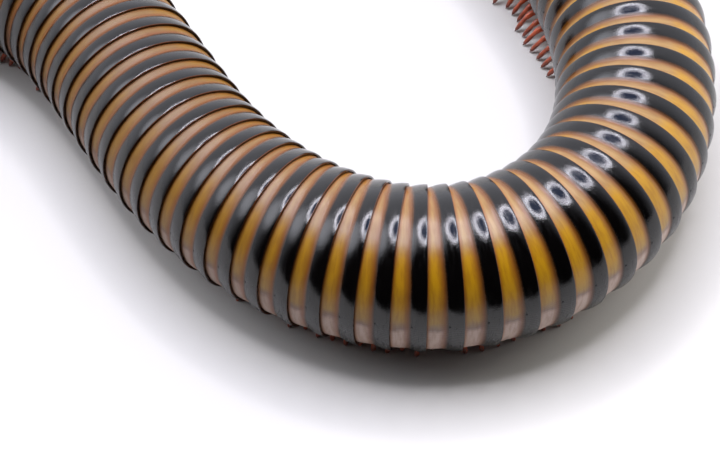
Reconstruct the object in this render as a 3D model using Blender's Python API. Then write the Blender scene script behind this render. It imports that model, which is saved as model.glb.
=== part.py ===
"""A tricolour millipede at life size, whole and still, walking round a bend.

The body is a tube of overlapping hard rings on one centreline, which is drawn by how far each ring
turns from the one before it. The feet stand on Z = 0, and the origin is in the middle of the ground
that the animal covers. Ring 0 is the first ring behind the neck shield, and the last is at the tail.
"""

import math

import bmesh
import bpy
from mathutils import Matrix, Vector

# The tube of the body
BODY_RADIUS = 0.0065
BELLY_FLAT = 0.93
STANDING_GAP = 0.0008
AXIS_HEIGHT = BODY_RADIUS + STANDING_GAP
FLOOR = -AXIS_HEIGHT
RING_COUNT = 54
LENGTH_COUNT = 9
RINGS_A_LENGTH = RING_COUNT // LENGTH_COUNT
NODE_GAP = 0.0003
SIDES = 20

# The bends: ring number, and degrees that the body turns to its left for each ring
TURNS = (
    (0, -1.0),
    (3, -5.0),
    (7, -5.2),
    (10.5, -2.3),
    (14, 0.5),
    (18, 3.8),
    (22, 4.3),
    (26, 6.2),
    (29.5, 8.0),
    (33, 7.6),
    (36, 7.2),
    (39, 5.9),
    (43, 3.7),
    (54, 2.4),
)
# The rings telescope: ring number, and the length of a ring along the centreline
PITCHES = (
    (0, 0.00215),
    (14, 0.00218),
    (21, 0.00207),
    (28, 0.00206),
    (35, 0.00231),
    (39, 0.00237),
    (43, 0.00235),
    (54, 0.00215),
)
# The thickness: ring number, and share of the body's radius
GIRTHS = ((0, 0.95), (2, 0.97), (5, 1.0), (48, 1.0), (51, 0.97), (53, 0.90), (54, 0.84))
STEPS_A_RING = 8
BEND_RING = 28
BEND_HEADING = -0.73
BEND_PLACE = (0.01747, -0.02261)

# One ring, from the hidden front edge to the raised rear rim: share of the pitch, share of the radius
RING_PROFILE = ((0.0, 0.955), (0.5, 0.985), (1.0, 1.0))

# The neck shield and the head, measured ahead of ring 0
SHIELD_PROFILE = ((0.0, 1.0), (0.0012, 0.985), (0.0028, 0.93), (0.0038, 0.84), (0.0041, 0.76))
SHIELD_TILT = -0.16
HEAD_BACK = 0.0044
HEAD_SIDES = 16
# Distance ahead, half width, half height and drop below the axis, the last three in body radii
HEAD_SECTIONS = (
    (0.0, 0.70, 0.72, 0.00),
    (0.0010, 0.78, 0.83, 0.02),
    (0.0022, 0.80, 0.90, 0.06),
    (0.0034, 0.73, 0.85, 0.11),
    (0.0043, 0.56, 0.68, 0.18),
    (0.0049, 0.30, 0.40, 0.26),
)
CHEEK_PLACE = (0.0027, 0.0034, -0.0030)
CHEEK_SIZE = (0.0022, 0.0017, 0.0025)
LIP_PLACE = (0.0042, 0.0, -0.0047)
LIP_SIZE = (0.0012, 0.0023, 0.0011)
EYE_PLACE = (0.0024, 0.00475, 0.0020)
EYE_SIZE = (0.00085, 0.00055, 0.00070)
EYE_GAP = 0.00018

# Feelers: points ahead, aside and up from the axis at the head's back
FEELER_POINTS = (
    (0.0040, 0.0041, 0.0000),
    (0.0050, 0.0052, 0.0003),
    (0.0064, 0.0059, -0.0006),
    (0.0075, 0.0060, -0.0022),
    (0.0083, 0.0058, -0.0039),
    (0.0088, 0.0054, -0.0053),
)
FEELER_ARTICLES = 7
FEELER_RADIUS = 0.00030
FEELER_NECK = 0.00024
FEELER_SIDES = 6

# Legs: ring number and how far out the feet stand, in body radii, on the left and on the right
LEFT_SPREADS = (
    (0, 1.05), (7, 0.95), (16, 1.1), (27, 0.85), (42, 0.80), (43.8, 0.80), (44.5, 0.92), (48, 0.95), (54, 1.1),
)
RIGHT_SPREADS = ((0, 1.05), (7, 0.62), (16, 0.48), (28, 0.44), (44, 0.50), (54, 0.95))
LEG_SIDES = 4
HIP_RADIUS = 0.00036
KNEE_RADIUS = 0.00031
FOOT_RADIUS = 0.00022
ONE_PAIR_RINGS = 3
LEGLESS_RINGS = 2
LEG_SWING = 0.00022
LEGS_A_WAVE = 14

# The tail: the last ring's cone, and the two valves that close it
TAIL_PROFILE = ((0.0, 0.82), (0.0014, 0.78), (0.0027, 0.68), (0.0036, 0.54))
VALVE_SIZE = (0.0019, 0.0030, 0.0032)
VALVE_SUNK = 0.0002
SPUR_POINTS = ((0.0012, 0.0, 0.0040), (0.0026, 0.0, 0.0036), (0.0036, 0.0, 0.0033))
SPUR_RADII = (0.0009, 0.0007, 0.0004)

RING_COLOUR = (0.16, 0.075, 0.02)
SHIELD_COLOUR = (0.10, 0.045, 0.02)
HEAD_COLOUR = (0.035, 0.015, 0.010)
EYE_COLOUR = (0.006, 0.006, 0.007)
FEELER_COLOUR = (0.16, 0.035, 0.020)
TAIL_COLOUR = (0.03, 0.018, 0.012)


def between(stations, ring):
    """The value at a ring number, in straight lines between (ring number, value) stations."""
    for (low, start), (high, end) in zip(stations, stations[1:]):
        if ring <= high:
            share = max(ring - low, 0.0) / (high - low)
            return start + (end - start) * share
    return stations[-1][1]


def centreline():
    """The heading and the place of the body's axis at each eighth of a ring, from neck to tail."""
    headings = [0.0]
    points = [Vector((0.0, 0.0, 0.0))]
    for step in range(RING_COUNT * STEPS_A_RING):
        middle = (step + 0.5) / STEPS_A_RING
        turn = math.radians(between(TURNS, middle)) / STEPS_A_RING
        pitch = between(PITCHES, middle) / STEPS_A_RING
        heading = headings[-1] + turn / 2
        points.append(points[-1] + pitch * Vector((math.cos(heading), math.sin(heading), 0.0)))
        headings.append(headings[-1] + turn)
    bend = BEND_RING * STEPS_A_RING
    turned = math.radians(BEND_HEADING) - headings[bend]
    turn_all = Matrix.Rotation(turned, 3, "Z")
    bend_place = Vector((BEND_PLACE[0], BEND_PLACE[1], AXIS_HEIGHT))
    places = [turn_all @ (point - points[bend]) + bend_place for point in points]
    return [heading + turned for heading in headings], places


HEADINGS, PLACES = centreline()


def frame_at(ring):
    """A matrix at a ring number: X runs to the tail, Y to the body's left, Z up."""
    step = min(max(ring, 0.0), RING_COUNT) * STEPS_A_RING
    low = min(int(step), RING_COUNT * STEPS_A_RING - 1)
    share = step - low
    heading = HEADINGS[low] + (HEADINGS[low + 1] - HEADINGS[low]) * share
    place = PLACES[low].lerp(PLACES[low + 1], share)
    return Matrix.Translation(place) @ Matrix.Rotation(heading, 4, "Z")


def body_section(ring, along, radius, tilt=0.0):
    """A round of the body with a flat belly. A tilt leans it back (positive) or ahead at the top."""
    frame = frame_at(ring)
    points = []
    for side in range(SIDES):
        angle = math.tau * side / SIDES
        height = max(radius * math.cos(angle), -BELLY_FLAT * radius)
        place = Vector((along + tilt * height, radius * math.sin(angle), height))
        points.append(frame @ place)
    return points


def oval_section(frame, along, half_width, half_height, drop, sides):
    points = []
    for side in range(sides):
        angle = math.tau * side / sides
        place = (along, half_width * math.sin(angle), half_height * math.cos(angle) - drop)
        points.append(frame @ Vector(place))
    return points


def new_object(name, mesh_maker):
    """An object whose mesh comes from a bmesh with its faces turned outwards."""
    work = bmesh.new()
    mesh_maker(work)
    bmesh.ops.recalc_face_normals(work, faces=work.faces)
    mesh = bpy.data.meshes.new(name)
    work.to_mesh(mesh)
    work.free()
    made = bpy.data.objects.new(name, mesh)
    bpy.context.scene.collection.objects.link(made)
    return made


def loft(name, sections):
    """A closed skin over rounds of equally many points, with a flat cap at each end."""

    def make(work):
        rounds = [[work.verts.new(point) for point in points] for points in sections]
        for first, second in zip(rounds, rounds[1:]):
            count = len(first)
            for k in range(count):
                after = (k + 1) % count
                work.faces.new((first[k], first[after], second[after], second[k]))
        work.faces.new(rounds[0])
        work.faces.new(rounds[-1])

    return new_object(name, make)


def tube(name, points, radii, sides, flat_foot=False):
    """A tapered tube along points. A flat foot ends it level with the ground."""
    sections = []
    for k, (point, radius) in enumerate(zip(points, radii)):
        ahead = points[min(k + 1, len(points) - 1)] - points[max(k - 1, 0)]
        if flat_foot and k == len(points) - 1:
            ahead = Vector((0.0, 0.0, -1.0))
        turn = ahead.to_track_quat("Z", "Y")
        offsets = [math.tau * (side + 0.5) / sides for side in range(sides)]
        rims = [Vector((math.cos(a), math.sin(a), 0.0)) * radius for a in offsets]
        sections.append([point + turn @ rim for rim in rims])
    return loft(name, sections)


def ball(name, frame, place, size, rounds=12, levels=8):
    """A squashed ball, its half sizes ahead, aside and up."""

    def make(work):
        bmesh.ops.create_uvsphere(work, u_segments=rounds, v_segments=levels, radius=1.0)
        bmesh.ops.scale(work, vec=size, verts=work.verts)
        bmesh.ops.translate(work, vec=place, verts=work.verts)
        bmesh.ops.transform(work, matrix=frame, verts=work.verts)

    return new_object(name, make)


def smooth_point(points, share):
    """A point on the smooth curve through the points (Catmull-Rom), share 0 to 1 along it."""
    last = len(points) - 1
    position = min(max(share, 0.0), 1.0) * last
    k = min(int(position), last - 1)
    t = position - k
    before, start, end, after = (points[min(max(k + d, 0), last)] for d in (-1, 0, 1, 2))
    bend_in = 2 * before - 5 * start + 4 * end - after
    bend_out = 3 * start - before - 3 * end + after
    return 0.5 * (2 * start + (end - before) * t + bend_in * t * t + bend_out * t * t * t)


def keep_largest_surface(node):
    """Drops every loose surface of a node but the one with the most room in its box."""
    work = bmesh.new()
    work.from_mesh(node.data)
    waiting = set(work.verts)
    surfaces = []
    while waiting:
        stack = [waiting.pop()]
        found = set(stack)
        while stack:
            for edge in stack.pop().link_edges:
                for vert in edge.verts:
                    if vert in waiting:
                        waiting.discard(vert)
                        found.add(vert)
                        stack.append(vert)
        surfaces.append(found)
    surfaces.sort(key=box_size, reverse=True)
    scraps = [vert for surface in surfaces[1:] for vert in surface]
    bmesh.ops.delete(work, geom=scraps, context="VERTS")
    work.to_mesh(node.data)
    work.free()


def box_size(verts):
    low = [min(vert.co[axis] for vert in verts) for axis in range(3)]
    high = [max(vert.co[axis] for vert in verts) for axis in range(3)]
    return math.prod(b - a for a, b in zip(low, high))


def combine(node, pieces, operation):
    """Fuses the pieces into the node (UNION) or cuts them out of it (DIFFERENCE) in one go."""
    group = bpy.data.collections.new(node.name + "_pieces")
    bpy.context.scene.collection.children.link(group)
    for piece in pieces:
        group.objects.link(piece)
    boolean = node.modifiers.new("combine", "BOOLEAN")
    boolean.operation = operation
    boolean.operand_type = "COLLECTION"
    boolean.collection = group
    boolean.solver = "MANIFOLD"
    bpy.context.view_layer.update()
    graph = bpy.context.evaluated_depsgraph_get()
    joined = bpy.data.meshes.new_from_object(node.evaluated_get(graph))
    node.modifiers.clear()
    node.data = joined
    for piece in pieces:
        bpy.data.objects.remove(piece)
    bpy.data.collections.remove(group)
    keep_largest_surface(node)


def finish(node, colour, roughness):
    """The node's own material, and smooth shading that keeps the rims sharp."""
    material = bpy.data.materials.new(node.name + "_finish")
    material.use_nodes = True
    shader = material.node_tree.nodes["Principled BSDF"]
    shader.inputs["Base Color"].default_value = (*colour, 1.0)
    shader.inputs["Roughness"].default_value = roughness
    shader.inputs["Metallic"].default_value = 0.0
    node.data.materials.clear()
    node.data.materials.append(material)
    node.data.shade_smooth()
    node.data.set_sharp_from_angle(angle=math.radians(35))


def leg(ring, left, count):
    """One leg from inside the belly over the knee to a flat foot on the ground."""
    spread = BODY_RADIUS * between(LEFT_SPREADS if left else RIGHT_SPREADS, ring)
    hand = 1 if left else -1
    swing = LEG_SWING * math.sin(math.tau * count / LEGS_A_WAVE)
    reach = spread / BODY_RADIUS
    knee_side = 0.20 * BODY_RADIUS + 0.66 * (spread - 0.20 * BODY_RADIUS)
    knee_height = -BODY_RADIUS * (1.02 - 0.32 * max(reach - 0.5, 0.0))
    points = (
        (0.0, 0.14 * BODY_RADIUS, -0.62 * BODY_RADIUS),
        (0.0, 0.27 * BODY_RADIUS, -0.99 * BODY_RADIUS),
        (0.4 * swing, knee_side, knee_height),
        (swing, spread, FLOOR),
    )
    frame = frame_at(ring)
    places = [frame @ Vector((along, hand * side, height)) for along, side, height in points]
    radii = (HIP_RADIUS, HIP_RADIUS, KNEE_RADIUS, FOOT_RADIUS)
    return tube(f"leg_{count}_{'left' if left else 'right'}", places, radii, LEG_SIDES, True)


def leg_rings():
    """The ring number at which each pair of legs grows: one pair on the first rings, then two."""
    places = []
    for ring in range(RING_COUNT - LEGLESS_RINGS):
        shares = (0.55,) if ring < ONE_PAIR_RINGS else (0.30, 0.80)
        places += [ring + share for share in shares]
    return places


def body_length(number):
    """A length of the body: its rings, each with a raised rear rim, and all their legs."""
    first = number * RINGS_A_LENGTH
    last = first + RINGS_A_LENGTH
    sections = []
    for ring in range(first, last):
        for share, size in RING_PROFILE:
            inset = 0.0
            if ring == first and share == 0.0:
                inset = NODE_GAP / 2
            if ring == last - 1 and share == 1.0:
                inset = -NODE_GAP / 2
            radius = BODY_RADIUS * size * between(GIRTHS, ring + share)
            sections.append(body_section(ring + share, inset, radius))
    node = loft(f"body_length_{number + 1}", sections)
    legs = []
    for count, ring in enumerate(leg_rings()):
        if first <= ring < last:
            legs += [leg(ring, True, count), leg(ring, False, count)]
    if legs:
        combine(node, legs, "UNION")
    finish(node, RING_COLOUR, 0.2)


def neck_shield():
    """The first shield, which hoods the back of the head and is longest over the back."""
    sections = []
    for ahead, size in SHIELD_PROFILE:
        along = -NODE_GAP if ahead == 0.0 else -ahead
        radius = BODY_RADIUS * size * between(GIRTHS, 0)
        tilt = SHIELD_TILT * ahead / SHIELD_PROFILE[-1][0]
        sections.append(body_section(0, along, radius, tilt))
    finish(loft("neck_shield", sections), SHIELD_COLOUR, 0.2)


def head_frame():
    """A matrix at the back of the head: X runs ahead, Y to the body's left, Z up."""
    return frame_at(0) @ Matrix.Translation((-HEAD_BACK, 0.0, 0.0)) @ Matrix.Scale(-1, 4, (1, 0, 0))


def head():
    frame = head_frame()
    sections = []
    for ahead, width, height, drop in HEAD_SECTIONS:
        tilt = -SHIELD_TILT * (1 - ahead / HEAD_SECTIONS[-1][0])
        oval = oval_section(
            Matrix.Identity(4),
            ahead,
            width * BODY_RADIUS,
            height * BODY_RADIUS,
            drop * BODY_RADIUS,
            HEAD_SIDES,
        )
        leaned = [Vector((point.x + tilt * point.z, point.y, point.z)) for point in oval]
        sections.append([frame @ point for point in leaned])
    node = loft("head", sections)
    pieces = [ball("lip", frame, LIP_PLACE, LIP_SIZE)]
    for hand in (1, -1):
        along, side, height = CHEEK_PLACE
        pieces.append(ball("cheek", frame, (along, hand * side, height), CHEEK_SIZE))
        root = Vector(FEELER_POINTS[0])
        outward = (Vector(FEELER_POINTS[1]) - root).normalized()
        knob = [root - outward * 0.0012, root - outward * NODE_GAP]
        knob = [frame @ Vector((p.x, hand * p.y, p.z)) for p in knob]
        pieces.append(tube("knob", knob, (0.00045, 0.00042), 8))
    combine(node, pieces, "UNION")
    room = Vector(EYE_SIZE) + Vector((EYE_GAP, EYE_GAP, EYE_GAP))
    along, side, height = EYE_PLACE
    sockets = [ball("socket", frame, (along, hand * side, height), room) for hand in (1, -1)]
    combine(node, sockets, "DIFFERENCE")
    finish(node, HEAD_COLOUR, 0.25)


def eye(name, hand):
    along, side, height = EYE_PLACE
    finish(ball(name, head_frame(), (along, hand * side, height), EYE_SIZE), EYE_COLOUR, 0.15)


def feeler(name, hand):
    """A feeler of seven articles, each wider at its far end."""
    frame = head_frame()
    route = [Vector((x, hand * y, z)) for x, y, z in FEELER_POINTS]
    points = []
    radii = []
    for article in range(FEELER_ARTICLES):
        for share, radius in ((0.0, FEELER_NECK), (0.7, FEELER_RADIUS)):
            points.append(frame @ smooth_point(route, (article + share) / FEELER_ARTICLES))
            radii.append(radius)
    points.append(frame @ route[-1])
    radii.append(FEELER_NECK)
    finish(tube(name, points, radii, FEELER_SIDES), FEELER_COLOUR, 0.35)


def tail_ring():
    """The legless last ring, a cone with a blunt spur over the valves."""
    sections = []
    for along, size in TAIL_PROFILE:
        sections.append(body_section(RING_COUNT, along + NODE_GAP, BODY_RADIUS * size))
    node = loft("tail_ring", sections)
    frame = frame_at(RING_COUNT)
    spur = tube("spur", [frame @ Vector(point) for point in SPUR_POINTS], SPUR_RADII, 8)
    combine(node, [spur], "UNION")
    finish(node, TAIL_COLOUR, 0.22)


def tail_valve(name, hand):
    """One of the two domed valves, cut flat along the middle and against the tail ring."""
    front = TAIL_PROFILE[-1][0] + 2 * NODE_GAP
    frame = frame_at(RING_COUNT)

    def make(work):
        bmesh.ops.create_uvsphere(work, u_segments=16, v_segments=10, radius=1.0)
        bmesh.ops.scale(work, vec=VALVE_SIZE, verts=work.verts)
        bmesh.ops.translate(work, vec=(front - VALVE_SUNK, 0.0, 0.0), verts=work.verts)
        for place, normal in (
            ((front, 0.0, 0.0), (1.0, 0.0, 0.0)),
            ((0.0, hand * NODE_GAP / 2, 0.0), (0.0, hand, 0.0)),
        ):
            cut = bmesh.ops.bisect_plane(
                work,
                geom=work.verts[:] + work.edges[:] + work.faces[:],
                plane_co=place,
                plane_no=normal,
                clear_inner=True,
            )
            edges = [item for item in cut["geom_cut"] if isinstance(item, bmesh.types.BMEdge)]
            bmesh.ops.edgenet_fill(work, edges=edges)
        bmesh.ops.transform(work, matrix=frame, verts=work.verts)

    finish(new_object(name, make), TAIL_COLOUR, 0.25)


def main():
    for item in list(bpy.data.objects):
        bpy.data.objects.remove(item)
    for number in range(LENGTH_COUNT):
        body_length(number)
    neck_shield()
    head()
    for side, hand in (("left", 1), ("right", -1)):
        eye(f"eye_{side}", hand)
        feeler(f"antenna_{side}", hand)
        tail_valve(f"tail_valve_{side}", hand)
    tail_ring()


main()
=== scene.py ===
# %% [markdown]
# # A tricolour millipede
#
# This lesson dresses a plain solid millipede with the shells that a real one wears. The plain solids
# give the place and the size of everything, and each piece here is modelled straight, in units that
# are easy to think in, and then laid along the bent body. We start by loading the solids.

# %% Load the solid model
import math
import random

import bpy
from mathutils import Matrix, Vector


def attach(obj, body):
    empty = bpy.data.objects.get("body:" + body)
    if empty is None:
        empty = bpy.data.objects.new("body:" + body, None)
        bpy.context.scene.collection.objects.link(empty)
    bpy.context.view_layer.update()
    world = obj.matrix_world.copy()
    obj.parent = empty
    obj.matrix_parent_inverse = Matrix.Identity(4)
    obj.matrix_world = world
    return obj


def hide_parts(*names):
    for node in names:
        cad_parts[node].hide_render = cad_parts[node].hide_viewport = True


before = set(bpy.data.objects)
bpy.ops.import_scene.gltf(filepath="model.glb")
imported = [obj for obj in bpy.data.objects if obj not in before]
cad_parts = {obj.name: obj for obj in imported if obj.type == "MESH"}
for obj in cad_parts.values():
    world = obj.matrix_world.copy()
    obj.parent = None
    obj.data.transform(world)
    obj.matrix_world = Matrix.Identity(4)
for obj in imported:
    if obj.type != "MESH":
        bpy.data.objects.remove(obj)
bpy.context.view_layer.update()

# %% [markdown]
# ## The line of the body
#
# A millipede bends because each ring turns a little in the one before it. So the middle line of the
# body isn't drawn as a curve: it is added up, ring by ring, from how far each ring turns and how long
# it is. The stations below are ring number and value, with ring 0 just behind the neck shield. The
# solids were built from the same line.

# %% The sizes that the body is drawn from
BODY_RADIUS = 0.0065
BELLY_FLAT = 0.93
STANDING_GAP = 0.0008
AXIS_HEIGHT = BODY_RADIUS + STANDING_GAP
RING_COUNT = 54
RINGS_A_LENGTH = 6
TURNS = (
    (0, -1.0), (3, -5.0), (7, -5.2), (10.5, -2.3), (14, 0.5), (18, 3.8), (22, 4.3),
    (26, 6.2), (29.5, 8.0), (33, 7.6), (36, 7.2), (39, 5.9), (43, 3.7), (54, 2.4),
)
PITCHES = (
    (0, 0.00215), (14, 0.00218), (21, 0.00207), (28, 0.00206),
    (35, 0.00231), (39, 0.00237), (43, 0.00235), (54, 0.00215),
)
GIRTHS = ((0, 0.95), (2, 0.97), (5, 1.0), (48, 1.0), (51, 0.97), (53, 0.90), (54, 0.84))
STEPS_A_RING = 8
BEND_RING = 28
BEND_HEADING = -0.73
BEND_PLACE = (0.01747, -0.02261)
print(RING_COUNT, "rings of", 2000 * BODY_RADIUS, "mm across")

# %% Walk along the line
def between(stations, ring):
    """The value at a ring number, on straight lines between (ring, value) stations."""
    for (low, start), (high, end) in zip(stations, stations[1:]):
        if ring <= high:
            share = max(ring - low, 0.0) / (high - low)
            return start + (end - start) * share
    return stations[-1][1]


def centreline():
    headings = [0.0]
    points = [Vector((0.0, 0.0, 0.0))]
    for step in range(RING_COUNT * STEPS_A_RING):
        middle = (step + 0.5) / STEPS_A_RING
        turn = math.radians(between(TURNS, middle)) / STEPS_A_RING
        pitch = between(PITCHES, middle) / STEPS_A_RING
        heading = headings[-1] + turn / 2
        points.append(points[-1] + pitch * Vector((math.cos(heading), math.sin(heading), 0.0)))
        headings.append(headings[-1] + turn)
    bend = BEND_RING * STEPS_A_RING
    turned = math.radians(BEND_HEADING) - headings[bend]
    turn_all = Matrix.Rotation(turned, 3, "Z")
    bend_place = Vector((BEND_PLACE[0], BEND_PLACE[1], AXIS_HEIGHT))
    places = [turn_all @ (point - points[bend]) + bend_place for point in points]
    return [heading + turned for heading in headings], places


HEADINGS, PLACES = centreline()


def frame_at(ring):
    """At a ring number, X runs to the tail, Y to the body's left and Z up."""
    step = min(max(ring, 0.0), RING_COUNT) * STEPS_A_RING
    low = min(int(step), RING_COUNT * STEPS_A_RING - 1)
    share = step - low
    heading = HEADINGS[low] + (HEADINGS[low + 1] - HEADINGS[low]) * share
    place = PLACES[low].lerp(PLACES[low + 1], share)
    beyond = (ring - min(max(ring, 0.0), RING_COUNT)) * between(PITCHES, ring)
    matrix = Matrix.Translation(place) @ Matrix.Rotation(heading, 4, "Z")
    return matrix @ Matrix.Translation((beyond, 0.0, 0.0))


length_of_body = sum((b - a).length for a, b in zip(PLACES, PLACES[1:]))
print("the rings are", round(1000 * length_of_body), "mm long along the middle")

# %% [markdown]
# ## The camera
#
# The camera looks down on the bend at 51 degrees from about 25 centimetres, with a long lens, as a
# photographer would who wants the whole width of the body sharp. It goes in first, because the frame
# it gives decides where detail is worth the work.

# %% Place the camera
CAMERA_TILT = 51.0
CAMERA_PLACE = (0.01233, -0.17601, 0.20104)
LENS = 160.0


def nothing_selected():
    if bpy.context.mode != "OBJECT":
        bpy.ops.object.mode_set(mode="OBJECT")
    bpy.ops.object.select_all(action="DESELECT")


nothing_selected()
bpy.ops.object.camera_add(location=CAMERA_PLACE, rotation=(math.radians(90 - CAMERA_TILT), 0.0, 0.0))
camera = bpy.context.active_object
camera.name = "camera"
camera.data.lens = LENS
camera.data.sensor_width = 36.0
camera.data.clip_start = 0.01
camera.data.clip_end = 10.0
camera.data.dof.use_dof = False
bpy.context.scene.camera = camera
print("camera at", [round(value, 3) for value in camera.location])

# %% [markdown]
# ## Short calls for shader nodes
#
# Every material below, and the light of the room too, is a small net of nodes. Made one by one, each
# node takes five lines and the idea drowns. So one class keeps a net and has a short call for each
# kind of node that we use. Whatever a node takes may be a number, a colour or another node's result.

# %% The net of nodes
def linear(value):
    """The shader's value for an sRGB value from 0 to 255."""
    value = value / 255
    return value / 12.92 if value <= 0.04045 else ((value + 0.055) / 1.055) ** 2.4


def shader_colour(colour):
    return (*[linear(value) for value in colour], 1.0)


class Nodes:
    """A node tree with short calls. Colours are sRGB from 0 to 255."""

    def __init__(self, tree):
        self.nodes = tree.nodes
        self.links = tree.links

    def feed(self, socket, value):
        if isinstance(value, (int, float)):
            socket.default_value = value
        elif isinstance(value, tuple):
            socket.default_value = shader_colour(value)
        else:
            self.links.new(value, socket)

    def add(self, kind, sockets=(), **settings):
        """A new node with its settings set and each (socket, value) fed."""
        node = self.nodes.new(kind)
        for name, value in settings.items():
            setattr(node, name, value)
        for socket, value in sockets:
            self.feed(node.inputs[socket], value)
        return node

    def calculate(self, operation, *values):
        return self.add("ShaderNodeMath", enumerate(values), operation=operation).outputs[0]

    def scaled(self, value, low, high, new_low=0.0, new_high=1.0):
        """The value's way from low to high, eased at both ends, from new_low to new_high."""
        ends = (("From Min", low), ("From Max", high), ("To Min", new_low), ("To Max", new_high))
        sockets = (*ends, ("Value", value))
        return self.add("ShaderNodeMapRange", sockets, interpolation_type="SMOOTHSTEP").outputs["Result"]

    def mixed(self, share, first, second):
        """A colour: first where the share is 0, second where it is 1."""
        return self.add("ShaderNodeMix", ((0, share), (6, first), (7, second)), data_type="RGBA").outputs[2]

    def noise(self, scale, detail=2.0, vector=None):
        if vector is None:
            vector = self.add("ShaderNodeTexCoord").outputs["Object"]
        sockets = (("Scale", scale), ("Detail", detail), ("Vector", vector))
        return self.add("ShaderNodeTexNoise", sockets).outputs["Fac"]

    def wandering(self, value, scale, detail, width):
        """The value, pushed up and down from spot to spot by as much as half the width."""
        pushed = self.calculate("MULTIPLY_ADD", self.noise(scale, detail), width, -width / 2)
        return self.calculate("ADD", value, pushed)

    def ramp(self, share, *stops):
        """A colour that runs through (place, colour) stops."""
        node = self.add("ShaderNodeValToRGB", (("Fac", share),))
        elements = node.color_ramp.elements
        while len(elements) < len(stops):
            elements.new(0.5)
        for element, (place, colour) in zip(elements, stops):
            element.position = place
            element.color = shader_colour(colour)
        return node.outputs["Color"]

    def attribute(self, name):
            return self.add("ShaderNodeAttribute", attribute_name=name).outputs["Fac"]


class Finish(Nodes):
    """A new material with its shader."""

    def __init__(self, name):
        self.material = bpy.data.materials.new(name)
        self.material.use_nodes = True
        super().__init__(self.material.node_tree)
        self.shader = self.nodes["Principled BSDF"]

    def set(self, name, value):
        self.feed(self.shader.inputs[name], value)

    def bump(self, height, distance, strength=1.0):
        sockets = (("Strength", strength), ("Distance", distance), ("Height", height))
        self.set("Normal", self.add("ShaderNodeBump", sockets).outputs["Normal"])

    def grained(self, scale, detail, low, smooth, rough, depth):
        """A fine grain that takes the gloss from smooth to rough and dents the surface."""
        grain = self.noise(scale, detail)
        self.set("Roughness", self.scaled(grain, low, 0.8, smooth, rough))
        self.bump(grain, depth, 0.5)


print("nodes can be made by", len([name for name in vars(Nodes) if name[0] != "_"]), "short calls")

# %% [markdown]
# ## Light
#
# A glossy black shell shows little but what it mirrors. Here that is a round lamp with an open middle
# above the animal, which leaves a bright oval ring on each black band. A faint blue glow fills the
# ring's middle. Behind the animal stands pale paper, at the left is a faint window, and the room in
# front is dark. A white panel behind at the right lightens the shadows.
#
# The floor is white paper in two sheets. The shell mirrors the first, which ends a hand's breadth in
# front of the animal, but not the second, so the flanks stay black there.

# %% Lay the floor
FLOOR_SIDE = 3.0
SHEET_FRONT = -0.063
PAPER_COLOUR = (0.522, 0.515, 0.486, 1.0)

floor_paper = Finish("white_paper")
floor_paper.shader.inputs["Base Color"].default_value = PAPER_COLOUR
floor_paper.set("Roughness", 0.75)


def lay_paper(name, front, mirrored):
    """A square sheet whose front edge lies at a Y. A sheet can be left out of what the shell mirrors."""
    nothing_selected()
    bpy.ops.mesh.primitive_plane_add(size=FLOOR_SIDE, location=(0.0, front + FLOOR_SIDE / 2, 0.0))
    sheet = bpy.context.active_object
    sheet.name = name
    sheet.visible_glossy = mirrored
    sheet.data.materials.append(floor_paper.material)


lay_paper("floor", SHEET_FRONT, True)
lay_paper("floor_in_front", SHEET_FRONT - FLOOR_SIDE, False)
print("two sheets meet at", SHEET_FRONT, "m")

# %% Hang the lamp and the panel
LAMP_DISTANCE = 1.6
LAMP_LEAN_BACK = 13.6
LAMP_LEAN_LEFT = 3.3
# Half the angle that the lamp fills as seen from the bend, outside and inside, in degrees
LAMP_OUTER = 19.3
LAMP_INNER = 14.2
LAMP_COLOUR = (0.92, 0.90, 1.0, 1.0)
LAMP_STRENGTH = 28.5
HEART_COLOUR = (0.42, 0.54, 1.0, 1.0)
HEART_STRENGTH = 1.5
PANEL_PLACE = Vector((1.00, 0.58, 0.45))
PANEL_SIDE = 0.9
PANEL_COLOUR = (1.0, 0.97, 0.93, 1.0)
PANEL_STRENGTH = 6.2


def make_glow(name, colour, strength):
    material = bpy.data.materials.new(name)
    material.use_nodes = True
    net = Nodes(material.node_tree)
    net.nodes.clear()
    glow = net.add("ShaderNodeEmission", (("Strength", strength),))
    glow.inputs["Color"].default_value = colour
    net.add("ShaderNodeOutputMaterial", (("Surface", glow.outputs[0]),))
    return material


def edit_all():
    bpy.ops.object.mode_set(mode="EDIT")
    bpy.ops.mesh.select_all(action="SELECT")


def hang(name, place, way, glow, mirrored=True):
    """Hangs what was just modelled at a place, facing along a way, out of the camera's sight."""
    light = bpy.context.active_object
    light.name = name
    light.rotation_mode = "QUATERNION"
    light.rotation_quaternion = way.to_track_quat("Z", "Y")
    light.location = place
    light.visible_camera = False
    light.visible_glossy = mirrored
    light.data.materials.append(glow)


lamp_way = Vector((-math.tan(math.radians(LAMP_LEAN_LEFT)), math.tan(math.radians(LAMP_LEAN_BACK)), 1.0))
lamp_way.normalize()
lamp_place = Vector((BEND_PLACE[0], BEND_PLACE[1], AXIS_HEIGHT)) + lamp_way * LAMP_DISTANCE
outer_radius = LAMP_DISTANCE * math.tan(math.radians(LAMP_OUTER))
inner_radius = LAMP_DISTANCE * math.tan(math.radians(LAMP_INNER))
nothing_selected()
bpy.ops.mesh.primitive_circle_add(vertices=96, radius=outer_radius, fill_type="NOTHING")
edit_all()
bpy.ops.mesh.extrude_edges_move()
bpy.ops.transform.resize(value=(inner_radius / outer_radius,) * 3)
bpy.ops.object.mode_set(mode="OBJECT")
hang("ring_lamp", lamp_place, -lamp_way, make_glow("lamp_glow", LAMP_COLOUR, LAMP_STRENGTH))

nothing_selected()
bpy.ops.mesh.primitive_circle_add(vertices=48, radius=inner_radius, fill_type="NGON")
hang("lamp_heart", lamp_place, -lamp_way, make_glow("heart_glow", HEART_COLOUR, HEART_STRENGTH))

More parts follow.
